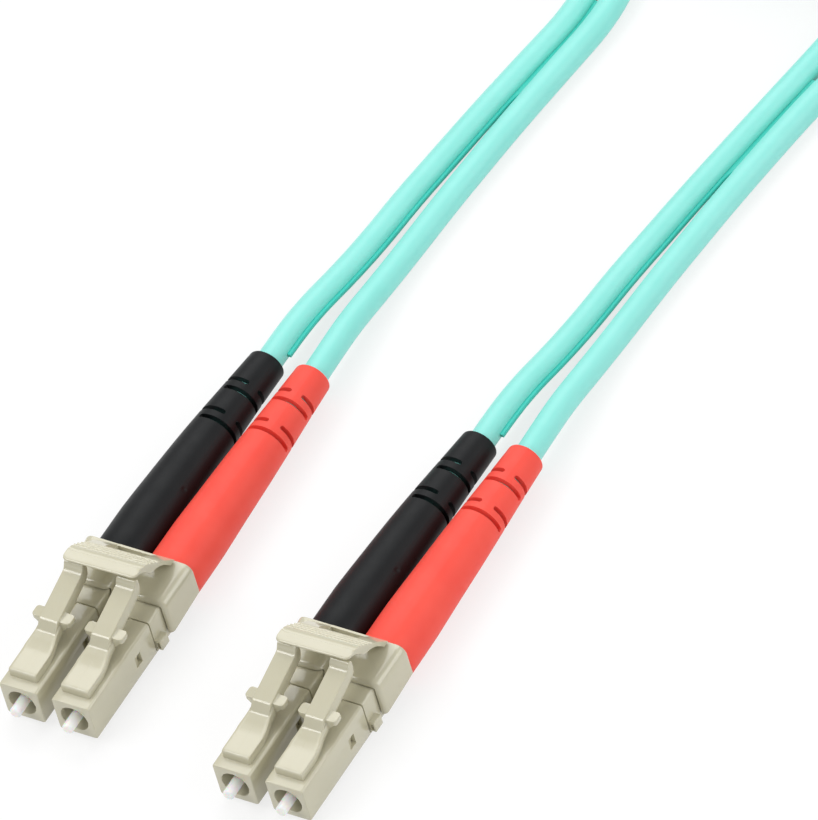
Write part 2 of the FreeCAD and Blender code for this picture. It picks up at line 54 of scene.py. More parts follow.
ENDS = {"a": (-13.27, -22.4), "b": (13.27, -24.3)}
SIDES = {"left": -1, "right": 1}
HALF_PITCH = 3.125
AXIS_HEIGHT = 3.05
JACKET_RADIUS = 1.4


# Materials, whose noises are in cells per metre and whose depths and scatter are in metres

TONE_CELLS, TONE_STOPS, GLOSS_CELLS = 260, (0.3, 0.7), 900


def noise(nodes, links, scale, detail=3.0):
    """Noise in the object's own coordinates."""
    place = nodes.new("ShaderNodeTexCoord")
    texture = nodes.new("ShaderNodeTexNoise")
    texture.inputs["Scale"].default_value = scale
    texture.inputs["Detail"].default_value = detail
    links.new(place.outputs["Object"], texture.inputs["Vector"])
    return texture.outputs["Fac"]


def surface(name, tones, gloss, grain, depth, **values):
    """A material with two close tones, a gloss that varies and a fine surface grain."""
    material = bpy.data.materials.new(name)
    material.use_nodes = True
    nodes, links = material.node_tree.nodes, material.node_tree.links
    shader = nodes["Principled BSDF"]
    shader.inputs["Roughness"].default_value = gloss[0]
    for socket, value in values.items():
        shader.inputs[socket.replace("_", " ")].default_value = value

    ramp = nodes.new("ShaderNodeValToRGB")
    for element, place, colour in zip(ramp.color_ramp.elements, TONE_STOPS, tones):
        element.position = place
        element.color = (*colour, 1)
    links.new(noise(nodes, links, TONE_CELLS), ramp.inputs["Fac"])
    links.new(ramp.outputs["Color"], shader.inputs["Base Color"])

    spread = nodes.new("ShaderNodeMapRange")
    spread.inputs["To Min"].default_value = gloss[0]
    spread.inputs["To Max"].default_value = gloss[1]
    links.new(noise(nodes, links, GLOSS_CELLS), spread.inputs["Value"])
    links.new(spread.outputs["Result"], shader.inputs["Roughness"])

    bump = nodes.new("ShaderNodeBump")
    bump.inputs["Strength"].default_value = 1.0
    bump.inputs["Distance"].default_value = depth
    links.new(noise(nodes, links, grain, 2.0), bump.inputs["Height"])
    links.new(bump.outputs["Normal"], shader.inputs["Normal"])
    return material


MATERIALS = {
    "connector_plastic": surface(
        "beige_plastic", ((0.575, 0.545, 0.40), (0.595, 0.565, 0.42)), (0.14, 0.20), 5200, 0.0000006,
        Specular_IOR_Level=0.9, Subsurface_Weight=0.05, Subsurface_Scale=0.0004,
        Subsurface_Radius=(1.0, 0.8, 0.45)),
    "boot_black": surface(
        "black_rubber", ((0.004, 0.005, 0.006), (0.007, 0.008, 0.009)), (0.42, 0.55), 7000, 0.000006,
        Specular_IOR_Level=0.25),
    "boot_red": surface(
        "red_rubber", ((0.94, 0.085, 0.060), (0.97, 0.100, 0.070)), (0.42, 0.54), 7000, 0.000006,
        Specular_IOR_Level=0.3, Subsurface_Weight=0.15, Subsurface_Scale=0.0008,
        Subsurface_Radius=(1.0, 0.2, 0.1)),
    "jacket": surface(
        "aqua_jacket", ((0.28, 0.80, 0.725), (0.305, 0.82, 0.75)), (0.34, 0.44), 2600, 0.000005,
        Subsurface_Weight=0.12, Subsurface_Scale=0.0008, Subsurface_Radius=(0.4, 1.0, 0.9)),
    # The web is the jacket's own plastic, given a darker, more saturated copy of the jacket's colour:
    # painted shade for the strip that lies in shadow between the strands
    "web": surface(
        "aqua_web_painted_shade", ((0.02, 0.56, 0.47), (0.03, 0.60, 0.50)), (0.30, 0.40), 2600, 0.000002),
    "ceramic": surface(
        "white_ceramic", ((0.94, 0.94, 0.93), (0.97, 0.97, 0.96)), (0.08, 0.14), 9000, 0.000001,
        Subsurface_Weight=0.6, Subsurface_Scale=0.0015),
    "nickel_metal": surface(
        "nickel", ((0.62, 0.60, 0.55), (0.68, 0.66, 0.61)), (0.20, 0.32), 6000, 0.000002, Metallic=1.0),
    "spring_steel": surface(
        "steel_wire", ((0.50, 0.50, 0.51), (0.58, 0.58, 0.59)), (0.22, 0.34), 8000, 0.000002, Metallic=1.0),
    "aramid": surface(
        "aramid_yarn", ((0.70, 0.50, 0.10), (0.80, 0.60, 0.16)), (0.6, 0.8), 4000, 0.00004),
    "fibre_buffer": surface(
        "fibre_buffer", ((0.78, 0.78, 0.75), (0.82, 0.82, 0.79)), (0.35, 0.45), 5000, 0.000002),
    "tie": surface(
        "tie_strap", ((0.015, 0.015, 0.017), (0.03, 0.03, 0.033)), (0.75, 0.9), 3800, 0.00008,
        Sheen_Weight=0.3),
}


# Pieces and the operations that shape them. Angles in degrees part smooth shading from sharp edges.

SHARP_ANGLE, FERRULE_SHARP, BOOT_SHARP, SOFTENED_ANGLE = 32, 24, 40, 50
CORNER_STEPS, SIDE_SPLITS = 5, 4


def at(end, x, y, z):
    """A point of an end's frame, in metres in the object's frame."""
    end_x, end_y = ENDS[end]
    return Vector((end_x + x, end_y + y, AXIS_HEIGHT + z)) * MM


def piece(name, form, slot, body, end, x=0.0, nodes=(), sharp=SHARP_ANGLE):
    """An object from a form, a bmesh in millimetres in the frame of an end or of a plug at x."""
    for vertex in form.verts:
        vertex.co = at(end, vertex.co.x + x, vertex.co.y, vertex.co.z)
    return shown(name, form, slot, body, nodes, sharp)


def shown(name, form, slot, body, nodes=(), sharp=SHARP_ANGLE):
    """An object from a form in metres in the object's frame, smooth but for its sharp edges."""
    bmesh.ops.recalc_face_normals(form, faces=form.faces)
    mesh = bpy.data.meshes.new(name)
    form.to_mesh(mesh)
    form.free()
    mesh.polygons.foreach_set("use_smooth", [True] * len(mesh.polygons))
    mesh.set_sharp_from_angle(angle=math.radians(sharp))
    return dressed(bpy.data.objects.new(name, mesh), slot, body, nodes)


def dressed(obj, slot, body, nodes=()):
    """Put an object in the scene with the material of its slot, on its body, and hide the nodes that it
    replaces.
    """
    bpy.context.collection.objects.link(obj)
    obj.data.materials.append(MATERIALS[slot])
    if body:
        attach(obj, body)
    if nodes:
        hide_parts(*nodes)
    return obj


def softened(obj, width):
    """Round an object's sharp edges, so that they catch the light."""
    modifier = obj.modifiers.new("edges", "BEVEL")
    modifier.width = width * MM
    modifier.segments = 2
    modifier.limit_method = "ANGLE"
    modifier.angle_limit = math.radians(SOFTENED_ANGLE)


def rounded_square(half, radius):
    """Points of a square with round corners, in order, and with points along its sides."""
    points = []
    inner = half - radius
    corners = ((inner, inner, 0), (-inner, inner, 90), (-inner, -inner, 180), (inner, -inner, 270))
    for index, (corner_x, corner_z, start) in enumerate(corners):
        for step in range(CORNER_STEPS + 1):
            angle = math.radians(start + 90 * step / CORNER_STEPS)
            points.append((corner_x + radius * math.cos(angle), corner_z + radius * math.sin(angle)))
        next_x, next_z, next_start = corners[(index + 1) % 4]
        angle = math.radians(next_start)
        last = (next_x + radius * math.cos(angle), next_z + radius * math.sin(angle))
        first = points[-1]
        for split in range(1, SIDE_SPLITS):
            share = split / SIDE_SPLITS
            points.append((first[0] + (last[0] - first[0]) * share,
                           first[1] + (last[1] - first[1]) * share))
    return points


def circle(radius, steps):
    angles = [2 * math.pi * step / steps for step in range(steps)]
    return [(radius * math.sin(angle), radius * math.cos(angle)) for angle in angles]


def ring(y, points):
    return [Vector((x, y, z)) for x, z in points]


def loft(rings, closed=False):
    """Faces between rings of as many points each, closed to a torus or capped at both ends."""
    form = bmesh.new()
    rows = [[form.verts.new(point) for point in points] for points in rings]
    pairs = list(zip(rows, rows[1:]))
    if closed:
        pairs.append((rows[-1], rows[0]))
    for first, second in pairs:
        for index in range(len(first)):
            after = (index + 1) % len(first)
            form.faces.new((first[index], first[after], second[after], second[index]))
    if not closed:
        form.faces.new(rows[0])
        form.faces.new(reversed(rows[-1]))
    return form


def turned(profile, steps=64):
    """A form turned about the plug's axis from (radius, y) points."""
    return loft([ring(y, circle(radius, steps)) for radius, y in profile])


def rod(front, rear, radius, steps=48):
    """A round bar on the plug's axis, with a pinhole's width at the middle of its flat ends."""
    core = 0.01
    return turned([(core, front), (radius, front), (radius, rear), (core, rear)], steps)


def block(low, high, radius=0.0, steps=3):
    """A box with all of its edges rounded."""
    form = bmesh.new()
    bmesh.ops.create_cube(form, size=1)
    low, high = Vector(low), Vector(high)
    for vertex in form.verts:
        vertex.co = (low + high) / 2 + Vector(a * b for a, b in zip(vertex.co, high - low))
    if radius:
        bmesh.ops.bevel(form, geom=form.edges[:], offset=radius, segments=steps, profile=0.5,
                        affect="EDGES")
    return form


def as_object(form):
    bmesh.ops.recalc_face_normals(form, faces=form.faces)
    mesh = bpy.data.meshes.new("tool")
    form.to_mesh(mesh)
    form.free()
    obj = bpy.data.objects.new("tool", mesh)
    bpy.context.collection.objects.link(obj)
    return obj


def combined(form, tools, operation="DIFFERENCE"):
    """The form after boolean work with the tools, which are all forms in its own frame."""
    base = as_object(form)
    others = [as_object(tool) for tool in tools]
    for other in others:
        modifier = base.modifiers.new("work", "BOOLEAN")
        modifier.operation = operation
        modifier.solver = "EXACT"
        modifier.object = other
    result = bmesh.new()
    result.from_object(base, bpy.context.evaluated_depsgraph_get())
    for obj in [base] + others:
        bpy.data.objects.remove(obj)
    return result


def edge_steps(radius, count=4):
    """(distance along, inset) pairs of a quarter-round edge, from the end face inward."""
    for step in range(count + 1):
        angle = math.pi / 2 * step / count
        yield radius * (1 - math.cos(angle)), radius * (1 - math.sin(angle))


def edge_drop(distance, radius):
    """How far a quarter-round edge stands back at a distance from the end face."""
    short = max(0.0, radius - distance)
    return radius - math.sqrt(max(0.0, radius ** 2 - short ** 2))


def front_rings(section, front, radius, count=4):
    """The rings of a rounded front edge, from a section that takes y and an inset."""
    return [section(front + along, inset) for along, inset in edge_steps(radius, count)]


def rear_rings(section, rear, radius, count=4):
    """The rings of a rounded rear edge, from a section that takes y and an inset."""
    return [section(rear - along, inset) for along, inset in reversed(list(edge_steps(radius, count)))]


def interpolate(table, y):
    """The value at y of a table of (y, value) pairs."""
    for (first, low), (last, high) in zip(table, table[1:]):
        if y <= last:
            share = max(0.0, (y - first) / (last - first))
            return low + (high - low) * share
    return table[-1][1]


# Plug housing

HOUSING_HALF, HOUSING_LENGTH, HOUSING_CORNER = 2.26, 12.05, 0.3
HOUSING_FRONT_ROUND, HOUSING_REAR_ROUND, BORE_ROUND = 0.12, 0.03, 0.08
FRONT_BORE = 1.6
HOUSING_BORES = ((1.85, HOUSING_LENGTH), (1.85, 5.4), (1.2, 5.4), (1.2, 4.6), (FRONT_BORE, 4.6))
WINDOW_FRONT, WINDOW_REAR, WINDOW_LOW, WINDOW_HIGH = 8.6, 9.66, -0.75, 0.65


def outside_section(y, inset):
    return ring(y, rounded_square(HOUSING_HALF - inset, HOUSING_CORNER))


def bore_section(y, inset, radius=FRONT_BORE):
    """A round section with its points at the angles of the outside's, so that the two can be joined."""
    outside = rounded_square(HOUSING_HALF, HOUSING_CORNER)
    reach = radius + inset
    return ring(y, [(reach * x / math.hypot(x, z), reach * z / math.hypot(x, z)) for x, z in outside])


def housing_form():
    """The square shell with its stepped bore, side windows and rear slit."""
    rings = front_rings(outside_section, 0, HOUSING_FRONT_ROUND)
    rings += rear_rings(outside_section, HOUSING_LENGTH, HOUSING_REAR_ROUND, 2)
    rings += [bore_section(y, 0, radius) for radius, y in HOUSING_BORES]
    rings += front_rings(bore_section, 0, BORE_ROUND)[::-1]
    window = block((-3, WINDOW_FRONT, WINDOW_LOW), (3, WINDOW_REAR, WINDOW_HIGH), 0.06)
    slit = block((-1.05, 10.7, 1.5), (0.05, 13, 3), 0.05)
    return combined(loft(rings, closed=True), [window, slit])


# Latch

LATCH_FRONT, LATCH_FRONT_ROUND, LATCH_SIDE_ROUND = 1.26, 0.3, 0.1
PLATE_SHOULDER, CROWN_FRONT, CROWN_HALF, KEEL_HALF = 0.35, 6.19, 1.12, 1.06
EAR_FRONT, EAR_REAR, EAR_HALF, EAR_LOW, EAR_HIGH, EAR_ROUND = 7.58, 8.92, 2.27, 3.95, 4.6, 0.35

# Radius of the long edges, and how far the middle point of a rounded edge stands back, as a share of it
LATCH_SOFT, ROUND_MIDDLE = 0.08, 0.3

# The hollow fillet at the crown's foot: its most, its share of the crown's height, and its points
FILLET_REACH, FILLET_SHARE = 0.28, 0.6
FILLET = ((1.0, 0.0), (0.62, 0.08), (0.3, 0.3), (0.08, 0.62), (0.0, 1.0))

# The fine ridge that the mould's parting leaves along the middle
PARTING_HALF, PARTING_RISE = 0.05, 0.01

# The (y, z) of the plate's top, of the crown above it and of the underside, and the (y, x) of the waist
LATCH_PLATE_TOP = [(1.26, 3.29), (4.25, 3.29), (5.4, 3.5), (6.63, 3.88), (7.6, 4.2), (8.9, 4.6)]
LATCH_CROWN = [(6.2, 3.73), (6.32, 3.77), (6.44, 3.83), (6.54, 3.9), (6.62, 3.98), (7.16, 4.6),
               (7.22, 4.67), (7.28, 4.72), (7.35, 4.76), (7.44, 4.8), (12.6, 6.13), (12.74, 6.18),
               (12.87, 6.26), (12.98, 6.37), (13.06, 6.5), (13.14, 6.68), (13.22, 6.82), (13.32, 6.92),
               (13.44, 6.97), (13.62, 6.97), (13.74, 6.9), (13.82, 6.72)]
LATCH_LOW = [(1.26, 2.1), (4.0, 2.1), (4.6, 2.42), (6.9, 2.86), (9.94, 3.78), (13.3, 4.78), (13.71, 5.12),
             (13.82, 5.6)]
LATCH_WAIST = [(4.6, 1.63), (5.0, 1.6), (5.5, 1.51), (6.0, 1.4), (6.5, 1.31), (7.0, 1.26), (7.35, 1.26)]

# Cross-sections, close together at the nose, the crown's step, the ears and the hump
LATCH_STATIONS = [
    1.26, 1.28, 1.34, 1.42, 1.56, 1.9, 2.6, 3.3, 3.7, 4.0, 4.3, 4.6, 4.9, 5.2, 5.5, 5.8, 6.1,
    6.2, 6.26, 6.32, 6.38, 6.44, 6.49, 6.54, 6.58, 6.62, 6.66, 6.8, 6.95, 7.12, 7.16, 7.19, 7.22, 7.25,
    7.28, 7.31, 7.35, 7.39, 7.44, 7.5, 7.58, 7.62, 7.7, 7.82, 7.95, 8.3, 8.6, 8.72, 8.82, 8.88, 8.9,
    8.96, 9.1, 9.5, 10.5, 11.5, 12.4, 12.6, 12.67, 12.74, 12.8, 12.87, 12.93, 12.98, 13.02, 13.06, 13.1,
    13.14, 13.18, 13.22, 13.27, 13.32, 13.38, 13.44, 13.53, 13.62, 13.68, 13.74, 13.78, 13.82]


def arm_section(low, low_half, brim_low, brim_high, brim_half, top, top_half):
    """Points of a section of the latch: a keel, a brim that is the plate or the ears, and a crown."""
    soft, middle = LATCH_SOFT, ROUND_MIDDLE * LATCH_SOFT
    fillet = max(0.0, min(FILLET_REACH, FILLET_SHARE * (top - brim_high), brim_half - top_half - soft))
    crown_soft = min(soft, max(0.0, top - brim_high))
    crown_middle = ROUND_MIDDLE * crown_soft
    half = [(0, low), (low_half - soft, low), (low_half, low + soft), (low_half, brim_low - soft),
            (low_half + 0.01, brim_low), (brim_half - soft, brim_low)]
    half += [(brim_half - middle, brim_low + middle), (brim_half, brim_low + soft),
             (brim_half, brim_high - soft), (brim_half - middle, brim_high - middle),
             (brim_half - soft, brim_high)]
    half += [(top_half + across * fillet, brim_high + up * fillet) for across, up in FILLET]
    half += [(top_half, top - crown_soft), (top_half - crown_middle, top - crown_middle),
             (top_half - crown_soft, top), (top_half - crown_soft - 0.05, top), (2 * PARTING_HALF, top),
             (PARTING_HALF, top), (0, top + PARTING_RISE)]
    return half + [(-x, z) for x, z in reversed(half[1:-1])]


def latch_section(y):
    """The latch's section at y: the plate in front, the ears, and the tail behind them."""
    low = interpolate(LATCH_LOW, y)
    plate_top = interpolate(LATCH_PLATE_TOP, y) - edge_drop(y - LATCH_FRONT, LATCH_FRONT_ROUND)
    waist = interpolate(LATCH_WAIST, y) - edge_drop(y - LATCH_FRONT, LATCH_SIDE_ROUND)
    if y > CROWN_FRONT:
        top, top_half = max(plate_top, interpolate(LATCH_CROWN, y)), CROWN_HALF
    else:
        top, top_half = plate_top, waist - PLATE_SHOULDER
    if y < EAR_FRONT:
        return arm_section(low, waist - 0.02, low + 0.15, plate_top, waist, top, top_half)
    if y > EAR_REAR:
        return arm_section(low, KEEL_HALF, low + 0.3, low + 0.5, CROWN_HALF, top, top_half)
    ear_half = EAR_HALF - edge_drop(min(y - EAR_FRONT, EAR_REAR - y), EAR_ROUND)
    return arm_section(low, KEEL_HALF, EAR_LOW, EAR_HIGH, ear_half, top, top_half)


def latch_form():
    return loft([ring(y, latch_section(y)) for y in LATCH_STATIONS])


# Ferrule and rear half of the plug

FERRULE_RADIUS, FERRULE_TIP, FERRULE_CORE, FERRULE_DOME = 0.6245, -1.6, 0.0625, 0.03
FERRULE_POLISHED = 0.44
FERRULE_REAR = ((FERRULE_RADIUS, 4.3), (0.46, 4.3), (0.46, 6.6), (0.01, 6.6))
BLOCK_FRONT, BLOCK_REAR = 12.21, 14.95


def ferrule_form():
    """The ceramic pin, with a polished dome, a chamfer and a fine ring round its core."""
    profile = [(0.004, -0.004), (FERRULE_CORE, 0), (FERRULE_CORE + 0.01, 0.01), (FERRULE_CORE + 0.02, 0)]
    profile += [(radius, FERRULE_DOME * (radius / FERRULE_POLISHED) ** 2)
                for radius in (0.2, 0.32, 0.4, FERRULE_POLISHED)]
    profile += [(0.475, 0.045), (0.58, 0.13), (0.612, 0.19), (FERRULE_RADIUS, 0.28)]
    return turned([(radius, FERRULE_TIP + along) for radius, along in profile] + list(FERRULE_REAR))


def side_block(sign, near, far, low, high, radius, steps):
    """A block at a plug's side, from near to far of its axis, with the (y, z) of two corners."""
    reach = sorted((sign * near, sign * far))
    return block((reach[0], *low), (reach[1], *high), radius, steps)


def lug(sign):
    """A wedge that stands in the housing's side window, high at its front and low at its back."""
    base, front_high, rear_high = 1.6, 2.2, 1.86
    front, rear, low, high = 8.58, 9.42, -0.77, 0.42
    form = bmesh.new()
    corners = [(base, front, low), (base, rear, low), (base, rear, high), (base, front, high),
               (front_high, front, low), (rear_high, rear, low), (rear_high, rear, high),
               (front_high, front, high)]
    verts = [form.verts.new((sign * x, y, z)) for x, y, z in corners]
    for face in ((0, 1, 2, 3), (4, 5, 6, 7), (0, 1, 5, 4), (1, 2, 6, 5), (2, 3, 7, 6), (3, 0, 4, 7)):
        form.faces.new([verts[corner] for corner in face])
    bmesh.ops.triangulate(form, faces=form.faces[:])
    return form


def rear_body_form():
    """The rear half of the plug: a rounded block with side tabs, its neck and its snap lugs."""
    rings = front_rings(outside_section, BLOCK_FRONT, HOUSING_REAR_ROUND, 2)
    rings += rear_rings(outside_section, BLOCK_REAR, HOUSING_FRONT_ROUND)
    tabs = [side_block(sign, 1.5, 2.95, (12.2, -1.75), (13.6, -0.45), 0.1, 3) for sign in (-1, 1)]
    barrel, neck, post = rod(8.1, 12.4, 1.8), rod(14.5, 17.9, 1.88), rod(17.6, 21.5, 1.3, 32)
    form = combined(loft(rings), tabs + [barrel, neck, post], "UNION")
    spring_bore, tail_bore = rod(7.9, 10.6, 1.5), rod(10.4, 21.9, 1.0, 32)
    notches = [side_block(sign, 2.45, 2.8, (12.1, -1.5), (12.5, -0.7), 0.04, 2) for sign in (-1, 1)]
    form = combined(form, [spring_bore, tail_bore] + notches)
    return combined(form, [lug(sign) for sign in (-1, 1)], "UNION")


# Boots, whose tips lean sideways and whose slots are turned about their axes

BOOT_FRONT, BOOT_FRONT_ROUND, BOOT_REAR, BOOT_REAR_ROUND = 19.75, 0.14, 48.3, 0.24
BOOT_SEAT_REAR, BOOT_SEAT, BOOT_BORE, CORE_FRONT = 25.2, 2.0, 1.45, 22.0
BOOT_PROFILE = [(19.75, 3.05), (22.0, 3.05), (25.0, 3.035), (27.5, 2.94), (30.0, 2.83), (32.5, 2.74),
                (35.0, 2.65), (37.5, 2.535), (40.0, 2.4), (42.3, 2.27), (44.5, 2.15), (46.5, 2.06),
                (48.3, 1.975)]
BOOT_RINGS = (21.5, 23.5, 25.19, 25.21, 27, 28.9, 29.2, 29.35, 29.5, 29.65, 29.8, 30.1, 31, 33, 35, 36.6,
              46.6)
BOOT_LEAN, LEAN_FROM, LEAN_POWER = {"left": 0.95, "right": 0.18}, 24, 1.8
BOOT_ROLL = {"left": math.radians(45), "right": math.radians(21)}

# Slots: (y, first column) of each row of two, the shift of all rows, and the rings that they need
BOOT_COLUMNS, SLOT_COLUMNS, SLOT_PITCH, SLOT_HALF_WIDTH = 96, 36, 48, 0.25
SLOT_ROWS = ((38.8, 0), (40.05, 24), (43.2, 0), (44.5, 24))
SLOT_SHIFT = {"left": -0.5, "right": 0.0}
SLOT_RINGS = (-0.25, -0.18, 0.0, 0.18, 0.25)
SLOT_END_SPREAD = (1.0, 0.62, 0.3, 0.1)
RINGS_BETWEEN_SLOTS = (37.9, 39.42, 41.1, 42.2, 43.85, 45.4)

GATE_Y, GATE_ANGLE, GATE_RADIUS, GATE_DEPTH = 29.5, math.radians(55), 0.3, 0.16
SEAM_COLUMNS, SEAM_RISE = (SLOT_COLUMNS / 2, SLOT_COLUMNS / 2 + SLOT_PITCH), 0.022


def lean(side, y):
    """How far a boot's axis has leaned in X at y."""
    share = max(0.0, (y - LEAN_FROM) / (BOOT_REAR - LEAN_FROM))
    return BOOT_LEAN[side] * share ** LEAN_POWER


def boot_stations(shift):
    """(y, inset of the outside) of each ring of the boot, from its front to its tip."""
    stations = [(BOOT_FRONT + along, inset) for along, inset in edge_steps(BOOT_FRONT_ROUND, 3)]
    stations += [(BOOT_REAR - along, inset) for along, inset in edge_steps(BOOT_REAR_ROUND)]
    stations += [(y, 0.0) for y in BOOT_RINGS]
    for row, _ in SLOT_ROWS:
        stations += [(row + shift + step, 0.0) for step in SLOT_RINGS]
    stations += [(y + shift, 0.0) for y in RINGS_BETWEEN_SLOTS]
    return sorted(stations)


def slot_end_turns(y, radius):
    """How far each column by a slot's end turns at y, so that the end is round."""
    turns = {}
    for row, first in SLOT_ROWS:
        offset = abs(y - row)
        if offset > SLOT_HALF_WIDTH - 0.001:
            continue
        depth = math.sqrt(SLOT_HALF_WIDTH ** 2 - offset ** 2) / radius
        for start in (first, first + SLOT_PITCH):
            for step, share in enumerate(SLOT_END_SPREAD):
                turns[(start - step) % BOOT_COLUMNS] = -depth * share
                turns[(start + SLOT_COLUMNS + step) % BOOT_COLUMNS] = depth * share
    return turns


def gate_mark(y, angle, radius):
    """Depth of the small round mark that the moulding's gate leaves on the black boot."""
    turn = (angle - GATE_ANGLE + math.pi) % (2 * math.pi) - math.pi
    away = math.hypot(y - GATE_Y, turn * radius) / GATE_RADIUS
    return GATE_DEPTH * (1 - away) if away < 1 else 0.0


def in_slot(y, column):
    """Whether a slot lies at a column and at y, which is measured without the slots' shift."""
    for row, first in SLOT_ROWS:
        if abs(y - row) < SLOT_HALF_WIDTH:
            return (column - first) % SLOT_PITCH < SLOT_COLUMNS
    return False


def boot_form(side):
    """A tapered, leaning sleeve with rows of two round-ended slots and a fine parting seam."""
    shift = SLOT_SHIFT[side]
    stations = boot_stations(shift)
    last = len(stations) - 1
    columns = range(BOOT_COLUMNS)
    form = bmesh.new()
    outer, inner = {}, {}
    for level, (y, inset) in enumerate(stations):
        reach = interpolate(BOOT_PROFILE, y) - inset
        bore = BOOT_SEAT if y < BOOT_SEAT_REAR else BOOT_BORE
        turns = slot_end_turns(y - shift, reach)
        angles = [BOOT_ROLL[side] + (column - SLOT_COLUMNS / 2) * 2 * math.pi / BOOT_COLUMNS
                  + turns.get(column, 0.0) for column in columns]
        outside = [reach + (SEAM_RISE if column in SEAM_COLUMNS else 0.0) for column in columns]
        if side == "left":
            outside = [out - gate_mark(y, angle, reach) for out, angle in zip(outside, angles)]
        for skin, radii in ((outer, outside), (inner, [bore] * BOOT_COLUMNS)):
            for column, angle, radius in zip(columns, angles, radii):
                place = (radius * math.sin(angle) + lean(side, y), y, radius * math.cos(angle))
                skin[level, column] = form.verts.new(place)

    middles = [(here[0] + after[0]) / 2 - shift for here, after in zip(stations, stations[1:])]
    cut = {(level, column) for level in range(last) for column in columns if in_slot(middles[level], column)}
    for level in range(last):
        for column in columns:
            before, after = (column - 1) % BOOT_COLUMNS, (column + 1) % BOOT_COLUMNS
            here, right = (level, column), (level, after)
            above, above_right = (level + 1, column), (level + 1, after)
            if here not in cut:
                for skin in (outer, inner):
                    form.faces.new((skin[here], skin[right], skin[above_right], skin[above]))
                continue
            walls = (((level - 1, column), here, right), (above, above, above_right),
                     ((level, before), here, above), (right, right, above_right))
            for neighbour, start, stop in walls:
                if neighbour not in cut:
                    form.faces.new((outer[start], outer[stop], inner[stop], inner[start]))
    for level in (0, last):
        for column in columns:
            here, right = (level, column), (level, (column + 1) % BOOT_COLUMNS)
            form.faces.new((outer[here], outer[right], inner[right], inner[here]))
    return form


def jacket_core_form(side):
    """The jacket inside a boot, on the boot's own line."""
    count = 27
    rings = []
    for step in range(count + 1):
        y = CORE_FRONT + (BOOT_REAR - CORE_FRONT) * step / count
        rings.append(ring(y, [(x + lean(side, y), z) for x, z in circle(JACKET_RADIUS, 40)]))
    return loft(rings)


# Clip, a saddle over both plugs' necks that widens and rises to the rear

CLIP_FRONT, CLIP_REAR, CLIP_SHOULDER = 14.4, 19.7, 1.0
CLIP_RINGS = (1.2, 2.0, 2.9, 3.8, 4.6)

# Each has its value at the front and its growth to the rear
CLIP_HALF, CLIP_TOP, CLIP_BOTTOM = (6.05, 0.34), (2.93, 0.48), (-1.5, 0.95)

# The valley's side: (x, z) at its floor, and (x, depth below the top) further up
VALLEY_FLOOR = ((0.52, 1.3), (0.62, 1.6))
VALLEY_BROW = ((0.74, 0.85), (0.92, 0.5), (1.16, 0.24), (1.48, 0.07), (1.9, 0.0))


def clip_section(y, inset):
    """A cross-section of the saddle: two arches with a deep valley between them."""
    share = (y - CLIP_FRONT) / (CLIP_REAR - CLIP_FRONT)
    reach = CLIP_HALF[0] + CLIP_HALF[1] * share - inset
    top = CLIP_TOP[0] + CLIP_TOP[1] * share - inset
    bottom = CLIP_BOTTOM[0] + CLIP_BOTTOM[1] * share
    half = [(0.0, 1.15), (0.3, 1.17)]
    half += [(x + inset, z) for x, z in VALLEY_FLOOR]
    half += [(x + inset, top - drop) for x, drop in VALLEY_BROW]
    brow_x = half[-1][0]
    flat = reach - CLIP_SHOULDER - brow_x
    half += [(brow_x + flat * split / 6, top) for split in range(1, 6)]
    for step in range(9):
        angle = math.radians(90 - 90 * step / 8)
        half.append((reach - CLIP_SHOULDER + CLIP_SHOULDER * math.cos(angle),
                     top - CLIP_SHOULDER + CLIP_SHOULDER * math.sin(angle)))
    half += [(reach, bottom + (top - CLIP_SHOULDER - bottom) * split / 4) for split in (3, 2, 1, 0)]
    half += [(reach * split / 4, bottom) for split in (3, 2, 1)]
    return ring(y, half + [(0.0, bottom)] + [(-x, z) for x, z in reversed(half[1:])])


def clip_form():
    """The saddle with its deck and the pocket in it, and an open channel for each plug's neck."""
    rings = front_rings(clip_section, CLIP_FRONT, 0.5, 6)
    rings += [clip_section(CLIP_FRONT + along, 0.0) for along in CLIP_RINGS]
    rings += rear_rings(clip_section, CLIP_REAR, 0.2, 3)
    tools = []
    for sign in (-1, 1):
        centre = sign * HALF_PITCH
        channel = rod(14, 20, 1.95)
        bmesh.ops.translate(channel, verts=channel.verts, vec=(centre, 0, 0))
        mouth = block((centre - 1.6, 14, -3), (centre + 1.6, 20, 0))
        plug_pocket = block((centre - 2.42, 14, -3), (centre + 2.42, 15.05, 2.4), 0.3, 3)
        tools += [channel, mouth, plug_pocket]
    deck = block((-2.3, 17.6, 1.3), (2.3, CLIP_REAR, 3.37), 0.09, 3)
    deck_pocket = block((-2.28, 17.4, 2.7), (2.28, 19.4, 3.6), 0.08, 2)
    return combined(combined(loft(rings), [deck], "UNION"), tools + [deck_pocket])


# Trigger, whose side view has an arched underside, a ribbed back and a creased lip

TRIGGER_HALF, TRIGGER_TILT, TRIGGER_LEVEL_X = 4.47, 0.045, 1.5

# The lip's round front corners, which fade out to the rear
TRIGGER_CORNER, CORNER_REAR, CORNER_FADE = 0.6, 15.4, 2.0

# The slight wave of the underside at the trigger's right end
WAVE_DEPTH, WAVE_RATE, WAVE_FROM, WAVE_BELOW, WAVE_REAR = 0.05, 4.2, 3.6, 7.1, 16

# The ribbed back slopes up to the front and then runs level
BACK_Y, BACK_Z, BACK_SLOPE, BACK_FRONT, BACK_LEVEL = 16.25, 6.54, -0.94 / 1.05, 16, 6.98
TRIGGER_RIBS, RIB_HALF = (17.3, 16.76, 16.22, 15.7), 0.15
RIB_TOP = ((0.12, 0.03), (0.05, 0.12), (0.0, 0.15), (-0.07, 0.15), (-0.12, 0.12))

